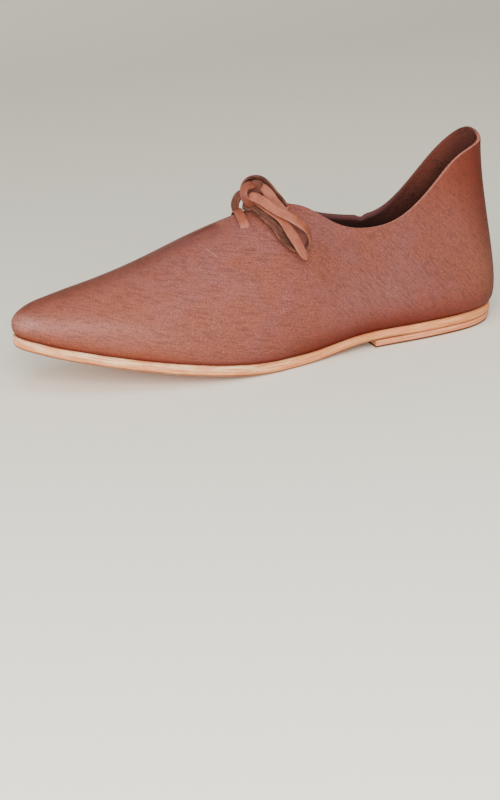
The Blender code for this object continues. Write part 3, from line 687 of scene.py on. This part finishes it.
def nail_iron():
    """Dark nail heads with a greenish-brown skin."""
    finish, tree, shader = new_material("nail_iron", metallic=0.85, roughness=0.5)
    spots = noise(tree, millimetres(tree), 1.1, 4.0, 0.65)
    colour = mix(tree, within(tree, spots, 0.35, 0.7), srgb(74, 66, 50), srgb(128, 112, 84))
    tree.links.new(colour, shader.inputs["Base Color"])
    tree.links.new(bump(tree, spots, 0.1), shader.inputs["Normal"])
    return finish


def floor_paper():
    """Plain pale floor."""
    finish, tree, shader = new_material("floor_paper", roughness=0.85)
    clouds = noise(tree, millimetres(tree), 160.0, 2.0)
    tree.links.new(mix(tree, clouds, srgb(246, 241, 224), srgb(248, 244, 229)), shader.inputs["Base Color"])
    return finish


# Pieces

def add_piece(name, points, faces, finishes, marks=None, tones=None):
    """A mesh from points in millimetres. marks gives each face the number of its finish, and tones
    gives the mesh named values at its points."""
    mesh = bpy.data.meshes.new(name)
    mesh.from_pydata(in_frame(points).tolist(), [], faces)
    for finish in finishes:
        mesh.materials.append(finish)
    if marks is not None:
        mesh.polygons.foreach_set("material_index", np.asarray(marks, np.int32))
    for key, values in (tones or {}).items():
        mesh.attributes.new(key, "FLOAT", "POINT").data.foreach_set("value", np.asarray(values, np.float32))
    grid = bmesh.new()
    grid.from_mesh(mesh)
    bmesh.ops.remove_doubles(grid, verts=grid.verts, dist=1e-6)
    grid.to_mesh(mesh)
    grid.free()
    mesh.shade_smooth()
    mesh.set_sharp_from_angle(angle=math.radians(SHARP_ANGLE))
    piece = bpy.data.objects.new(name, mesh)
    bpy.context.collection.objects.link(piece)
    return piece


def place_piece(piece, slot, *nodes):
    """A piece rides on the shoe and stands for its nodes, which it hides. The slot is not used."""
    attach(piece, "root")
    if nodes:
        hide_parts(*nodes)


def band_faces(rows, count, closed=True):
    """Faces between neighbouring rows of points, each with the same count."""
    faces = []
    for i in range(rows - 1):
        for j in range(count if closed else count - 1):
            after = (j + 1) % count
            faces.append((i * count + j, i * count + after, (i + 1) * count + after, (i + 1) * count + j))
    return faces


def upper_tones(places, sheet):
    """Named values at the points of the upper's wall, rows from the sole up: where its tints lie inside and
    outside, painted shade, sheen and highlight among them, and the run, puckers and seam for its relief."""
    climb = np.cumsum(np.linalg.norm(np.diff(sheet, axis=0, prepend=sheet[:1]), axis=2), axis=0)
    below_top = climb[-1] - climb
    x, z = sheet[..., 0], sheet[..., 2]
    run = np.broadcast_to(np.abs(places), x.shape)
    on_vamp = run <= THROAT_RUN
    rear = ease((190.0 - x) / 80.0)
    # painted shade for the dark tint: low near the sole, along the vamp's ridge and at the heel back, with
    # a dark line where the upper meets the sole
    low = (0.2 + 0.56 * rear - 0.24 * ease((75.0 - x) / 40.0)) * np.exp(-(climb / (5.0 + 5.0 * rear)) ** 2)
    join = 0.8 * np.exp(-(climb / 1.6) ** 2)
    ridge = 0.52 * np.exp(-(below_top / 10.0) ** 2) * on_vamp
    back_width = 14.0 + 7.0 * ease((z - 38.0) / 20.0)
    back = 0.9 * np.exp(-(np.maximum(HALF_RUN - 8.0 - run, 0.0) / back_width) ** 2)
    # painted shade inside: deeper down, towards the front of the inner side, and inside the heel back
    deep = 0.8 * ease(below_top / 36.0)
    ahead = 0.75 * ease((x - 33.0) / 38.0) * (places < 0.0)
    back_top = 0.3 * ease((19.0 - x) / 10.0)
    seam = np.minimum(np.abs(places - SEAM_RUN), 12.0)
    # painted highlight on the toe: a pale band at one height along its sides, and a spot at its tip
    height = climb - np.interp(run, [10.0, 34.0, 63.0, 90.0], [10.0, 13.4, 18.2, 18.2])
    toe_highlight = 0.3 * np.exp(-(height / 5.0) ** 2) * ease((115.0 - run) / 90.0)
    toe_highlight = toe_highlight + 0.35 * np.exp(-(height / 5.0) ** 2 - ((run - 12.7) / 8.0) ** 2)
    return {
        "dark": np.clip(low + join + ridge + back, 0.0, 1.0),
        "heel_glow": np.clip((64.0 - x) / 40.0, 0.0, 1.0) * np.clip((z - 58.0) / 36.0, 0.0, 1.0),
        "quarter": ease((150.0 - x) / 60.0),
        "depth": np.clip(deep + ahead + back_top, 0.0, 0.95),
        "front": ease((x - 190.0) / 60.0),
        "heel": ease((45.0 - x) / 40.0),
        # painted sheen: a pale pinkish patch low on the middle of the quarter
        "mauve_sheen": 0.36 * np.exp(-((x - 92.0) / 24.0) ** 2 - ((z - 32.0) / 17.0) ** 2),
        # painted shade: a darker red-brown band low on the rear of the upper, near the sole
        "rear_low_shade": 0.55 * rear * np.exp(-(climb / 14.0) ** 2),
        "toe_highlight": toe_highlight,
        "rim": 0.9 * ease((x - 40.0) / 30.0) * (places < 0.0) * ease((3.4 - below_top) / 2.2),
        "toe_low": 0.75 * ease((x - 190.0) / 40.0) * np.exp(-(climb / 6.5) ** 2),
        "run": run,
        "pucker": ease((PUCKER_RUN - run) / 30.0) * np.exp(-(climb / PUCKER_HEIGHT) ** 2),
        "seam": np.broadcast_to(seam, x.shape),
    }


def upper():
    """The upper: grain outside, thickened inwards, with its rim rounded and its slits cut."""
    places = column_places(COLUMNS * FINER)
    sheet = wall(places, np.linspace(0.0, 1.0, WALL_STEPS + 1)).transpose(1, 0, 2)
    tones = upper_tones(places, sheet)
    near_top = np.linalg.norm(sheet - sheet[-1], axis=2)
    sheet[..., 2] -= SEAM_DIP * np.exp(-(tones["seam"] / 2.4) ** 2) * np.exp(-(near_top / 4.0) ** 2)
    rows = []
    for inset in (TURN_IN, TURN_IN / 2):
        edge = sole_edge(places, EDGE_MARGIN + inset)[0]
        rows.append(np.column_stack([edge, sole_top(edge[:, 0]) + GAP]))
    points = np.concatenate(rows + list(sheet))
    tones = {key: np.concatenate([np.tile(values[0], len(rows)), values.ravel()])
             for key, values in tones.items()}
    faces = band_faces(len(rows) + len(sheet), len(places))
    finishes = [upper_grain(), upper_flesh(), cut_edge()]
    piece = add_piece("upper_leather", points, faces, finishes, tones=tones)
    skin = piece.modifiers.new("leather", "SOLIDIFY")
    skin.thickness = LEATHER * MM
    skin.offset = -1.0
    skin.use_even_offset = True
    skin.material_offset = 1
    skin.material_offset_rim = 2
    keep_shape(piece)
    round_rim(piece)
    cutters = [slit(side, finishes[2]) for side in (1, -1)]
    for cutter in cutters:
        cut = piece.modifiers.new(cutter.name, "BOOLEAN")
        cut.operation = "DIFFERENCE"
        cut.solver = "EXACT"
        cut.material_mode = "TRANSFER"
        cut.object = cutter
    keep_shape(piece)
    for cutter in cutters:
        bpy.data.objects.remove(cutter)
    piece.data.set_sharp_from_angle(angle=math.radians(SHARP_ANGLE))
    place_piece(piece, "upper_leather", "upper")


def keep_shape(piece):
    """Turns a piece's modifiers into its own mesh."""
    graph = bpy.context.evaluated_depsgraph_get()
    shape = bpy.data.meshes.new_from_object(piece.evaluated_get(graph))
    piece.modifiers.clear()
    piece.data = shape


def round_rim(piece):
    """Rounds the edges between the leather's faces and its cut rim."""
    grid = bmesh.new()
    grid.from_mesh(piece.data)
    edges = [edge for edge in grid.edges
             if len(edge.link_faces) == 2 and 2 in {face.material_index for face in edge.link_faces}
             and len({face.material_index for face in edge.link_faces}) == 2]
    bmesh.ops.bevel(grid, geom=edges, offset=RIM_ROUND * MM, segments=2, profile=0.5, affect="EDGES",
                    clamp_overlap=True, material=-1)
    grid.to_mesh(piece.data)
    grid.free()


def slit(side, finish):
    """The cut for one slit, on the outer side (1) or on the inner side (-1) of the throat."""
    front, back = (wall(np.array([run * side]), [share])[0, 0]
                   for run, share in zip(SLIT_RUNS, SLIT_SHARES))
    middle = (front + back) / 2
    half = (back - front) / 2
    face = unit(np.array([half[1], -half[0], 0.0])) * SLIT_WIDTH / 2
    drop = np.array([0.0, 0.0, SLIT_CUT])
    corners = [middle + half + face, middle + half - face, middle - half - face, middle - half + face]
    points = [corner + level for level in (-drop, drop) for corner in corners]
    faces = [(3, 2, 1, 0), (4, 5, 6, 7)] + [(i, (i + 1) % 4, 4 + (i + 1) % 4, 4 + i) for i in range(4)]
    return add_piece(f"slit_{'outer' if side > 0 else 'inner'}", points, faces, [finish])


def layer(name, places, edge, bottom, top, side, face):
    """A layer of the sole: its outline at each step of its edge, closed above and below by strips
    that run across the foot."""
    count = len(places)
    points = []
    levels = []
    for share, inset in edge:
        outline = sole_edge(places, inset)[0]
        x = outline[:, 0]
        points.append(np.column_stack([outline, bottom(x) * (1 - share) + top(x) * share]))
        levels.append((top(x) - bottom(x)) * share)
    faces = band_faces(len(edge), count)
    marks = [0] * len(faces)
    last = (len(edge) - 1) * count
    for j in range((count - 1) // 2):
        across = list(dict.fromkeys([j, j + 1, count - 2 - j, count - 1 - j]))
        faces.append(tuple(across[::-1]))
        faces.append(tuple(last + k for k in across))
        marks += [1, 0]
    tones = {"level": np.concatenate(levels), "run": np.tile(np.abs(places), len(edge))}
    return add_piece(name, np.concatenate(points), faces, [side, face], marks, tones)


def heel_places():
    """Places of the heel lift's outline, from the breast edge of the outer side to the inner side."""
    count = COLUMNS * FINER
    places = column_places(count)[1:]
    x = ring(places)[0][:, 0]
    outer, inner = (np.interp(-BREAST_X, -x[side], places[side])
                    for side in (slice(None, count), slice(None, count - 2, -1)))
    return np.concatenate([[outer], places[(places > outer) | (places < inner)], [inner]])


def sole():
    """Outsole, heel lift and insole."""
    around = column_places(COLUMNS * FINER)
    # the last pair darkens the lower edges, most of all the lift's: burnish with painted shadow
    pale = sole_side("sole_side", srgb(228, 160, 108), srgb(202, 122, 74), (0.1, 0.6))
    pink = sole_side("lift_side", srgb(226, 156, 116), srgb(200, 120, 80), (0.9, 0.9))
    tread = sole_face("sole_tread", srgb(190, 112, 62), srgb(158, 84, 44))
    tread_lift = sole_face("lift_tread", srgb(150, 78, 48), srgb(118, 56, 34))
    bed = sole_face("insole_bed", srgb(150, 98, 66), srgb(112, 66, 44))
    place_piece(layer("outsole_leather", around, OUTSOLE_EDGE, sole_bottom, sole_top, pale, tread),
                "sole_leather", "outsole")
    place_piece(layer("lift_layer", heel_places(), LIFT_EDGE, np.zeros_like,
                      lambda x: np.full_like(x, LIFT_THICK), pink, tread_lift), "lift_leather", "heel_lift")
    seat = GAP + LEATHER + GAP
    place_piece(layer("insole_layer", around, INSOLE_EDGE, lambda x: sole_top(x) + seat,
                      lambda x: sole_top(x) + seat + INSOLE_THICK, bed, bed), "insole_leather", "insole")


def strip(name, rows, finishes):
    """A flat strip through its rows with rounded edges: its outer face has the first finish and its
    inner face the second. Gives the piece and its middle line in metres."""
    rows = np.array(rows)
    keys = np.concatenate([[0.0], np.cumsum(np.linalg.norm(np.diff(rows[:, :3], axis=0), axis=1))])
    count = round(keys[-1] / THONG_STEP) + 1
    run = np.linspace(0.0, keys[-1], count)
    value, slope = spline(keys, rows, run)
    along = unit(slope[:, :3])
    across = unit(np.cross(along, value[:, 3:6]))
    outer = np.cross(across, along)
    turn = (np.arange(STRIP_SIDES) + 0.5) * 2 * np.pi / STRIP_SIDES
    flat = np.sign(np.cos(turn)) * np.abs(np.cos(turn)) ** STRIP_FLATNESS
    rise = np.sign(np.sin(turn)) * np.abs(np.sin(turn)) ** STRIP_ROUNDNESS
    half = value[:, 6] / 2
    points = (value[:, None, :3] + across[:, None] * half[:, None, None] * flat[None, :, None]
              + outer[:, None] * rise[None, :, None] * THONG_THICK / 2)
    faces = [face[::-1] for face in band_faces(count, STRIP_SIDES)]
    marks = [0 if j % STRIP_SIDES < STRIP_SIDES // 2 else 1 for j in range(len(faces))]
    last = (count - 1) * STRIP_SIDES
    faces += [tuple(range(STRIP_SIDES)), tuple(range(last + STRIP_SIDES - 1, last - 1, -1))]
    marks += [1, 1]
    tones = {"across": (half[:, None] * flat).ravel(), "along": np.repeat(run, STRIP_SIDES)}
    piece = add_piece(name, points.reshape(-1, 3), faces, finishes, marks, tones)
    return piece, in_frame(value[:, :3])


def thong():
    """The thong: a bar through the slits, a knot, two loops and two ends."""
    flesh = thong_face("thong_flesh", srgb(88, 46, 34), srgb(48, 23, 18), srgb(134, 88, 68), 0.6, 0.25, 0.9)
    grain = thong_face("thong_grain", srgb(152, 84, 60), srgb(126, 62, 40), srgb(168, 106, 84),
                       0.4, 0.08, 0.55)
    # a darker copy of the thong's grain for the knot pieces: painted shade
    worn = thong_face("knot_grain_shaded", srgb(122, 60, 42), srgb(84, 38, 25), srgb(138, 76, 56), 0.4, 0.08, 0.6)
    place_piece(strip("thong_bar", BAR, [grain, flesh])[0], "thong_leather", "lace_bar")
    for name, rows in (("knot_belt", KNOT_BELT), ("knot_turn", KNOT_TURN), ("knot_band", KNOT_BAND),
                       ("knot_rise", KNOT_RISE)):
        place_piece(strip(name, rows, [worn, flesh])[0], "thong_leather", "lace_knot")
    for name, rows, node_name, end in (("loop_outer", LOOP_LATERAL, "lace_loop_lateral", "object"),
                                       ("loop_inner", LOOP_MEDIAL, "lace_loop_medial", "object"),
                                       ("end_outer", END_LATERAL, "lace_end_lateral", "bare"),
                                       ("end_inner", END_MEDIAL, "lace_end_medial", "bare")):
        piece, line = strip(name, rows, [grain, flesh])
        place_piece(piece, "thong_leather", node_name)


def spaced(outline, count):
    """That many points at even distances on an open line, its ends among them."""
    run = np.concatenate([[0.0], np.cumsum(np.linalg.norm(np.diff(outline, axis=0), axis=1))])
    at = np.linspace(0.0, run[-1], count)
    return np.column_stack([np.interp(at, run, outline[:, i]) for i in range(outline.shape[1])])


def nails():
    """Nail heads around the outsole and the heel lift, as one mesh of low domes that look down."""
    around = column_places(COLUMNS * FINER)
    outline = sole_edge(np.roll(around, len(around) // 2), NAIL_INSET)[0]
    heel = sole_edge(heel_places(), NAIL_INSET)[0]
    heads = []
    for x, y in spaced(outline[outline[:, 0] > BREAST_X + NAIL_INSET], SOLE_NAILS):
        heads.append((x, y, float(sole_bottom(np.array(x)))))
    for x, y in spaced(heel[heel[:, 0] < BREAST_X - NAIL_INSET], LIFT_NAILS):
        heads.append((x, y, 0.0))
    turn = np.arange(NAIL_SIDES) * 2 * np.pi / NAIL_SIDES
    circle = np.column_stack([np.cos(turn), np.sin(turn)])
    points = []
    faces = []
    for x, y, z in heads:
        start = len(points)
        for radius, rise in NAIL_DOME:
            points += [(x + ahead, y + aside, z - NAIL_RISE * rise)
                       for ahead, aside in circle * NAIL_RADIUS * radius]
        faces += [tuple(start + k for k in face[::-1]) for face in band_faces(len(NAIL_DOME), NAIL_SIDES)]
        crown = start + (len(NAIL_DOME) - 1) * NAIL_SIDES
        faces.append(tuple(range(crown + NAIL_SIDES - 1, crown - 1, -1)))
    place_piece(add_piece("nail_heads", points, faces, [nail_iron()]), "sole_leather")


def camera():
    """Camera at the photograph's angle, with the aim point where the photograph has it."""
    turn, rise = math.radians(CAMERA_TURN), math.radians(CAMERA_RISE)
    back = Vector((math.sin(turn) * math.cos(rise), math.cos(turn) * math.cos(rise), math.sin(rise)))
    aim = Vector(in_frame(AIM))
    data = bpy.data.cameras.new("camera")
    data.sensor_width = SENSOR
    data.lens = PIXELS_PER_MM * CAMERA_DISTANCE * SENSOR / max(IMAGE_SIZE)
    data.shift_x = (IMAGE_SIZE[0] / 2 - AIM_PIXEL[0]) / max(IMAGE_SIZE)
    data.shift_y = (AIM_PIXEL[1] - IMAGE_SIZE[1] / 2) / max(IMAGE_SIZE)
    eye = bpy.data.objects.new("camera", data)
    eye.matrix_world = (Matrix.Translation(aim + back * CAMERA_DISTANCE * MM)
                        @ (-back).to_track_quat("-Z", "Y").to_matrix().to_4x4()
                        @ Matrix.Rotation(math.radians(CAMERA_ROLL), 4, "Z"))
    bpy.context.collection.objects.link(eye)
    bpy.context.scene.camera = eye


def stage():
    """A pale floor that sweeps up behind the shoe."""
    profile = [(FLOOR_FRONT, 0.0), (FLOOR_BACK, 0.0)]
    for step in range(1, SWEEP_STEPS + 1):
        angle = step / SWEEP_STEPS * math.pi / 2
        profile.append((FLOOR_BACK - SWEEP_RADIUS * math.sin(angle), SWEEP_RADIUS * (1 - math.cos(angle))))
    profile.append((FLOOR_BACK - SWEEP_RADIUS, WALL_TOP))
    points = [(side, y, z) for y, z in profile for side in (FLOOR_SIDE, -FLOOR_SIDE)]
    faces = [(2 * i, 2 * i + 1, 2 * i + 3, 2 * i + 2) for i in range(len(profile) - 1)]
    add_piece("floor", points, faces, [floor_paper()])


def light(name, place, size, power, colour):
    """A soft square light that looks at the shoe."""
    data = bpy.data.lights.new(name, "AREA")
    data.size = size * MM
    data.energy = power
    data.color = colour
    lamp = bpy.data.objects.new(name, data)
    lamp.location = in_frame(place)
    lamp.rotation_euler = (Vector(in_frame(AIM)) - lamp.location).to_track_quat("-Z", "Y").to_euler()
    bpy.context.collection.objects.link(lamp)


def lights():
    """Soft light from the camera's side, and a little from above."""
    light("key", (480.0, 1300.0, 700.0), 900.0, 31.0, (1.0, 0.98, 0.95))
    light("fill", (-600.0, 1100.0, 600.0), 900.0, 3.0, (1.0, 0.99, 0.97))
    light("toe", (1250.0, 450.0, 320.0), 400.0, 9.0, (1.0, 0.98, 0.96))
    light("top", (150.0, 400.0, 1400.0), 1200.0, 8.0, (0.98, 0.98, 1.0))
    world = bpy.data.worlds.new("studio")
    world.use_nodes = True
    world.node_tree.nodes["Background"].inputs["Color"].default_value = (0.95, 0.95, 0.93, 1.0)
    world.node_tree.nodes["Background"].inputs["Strength"].default_value = 0.22
    bpy.context.scene.world = world


camera()
thong()
upper()
sole()
nails()
stage()
lights()
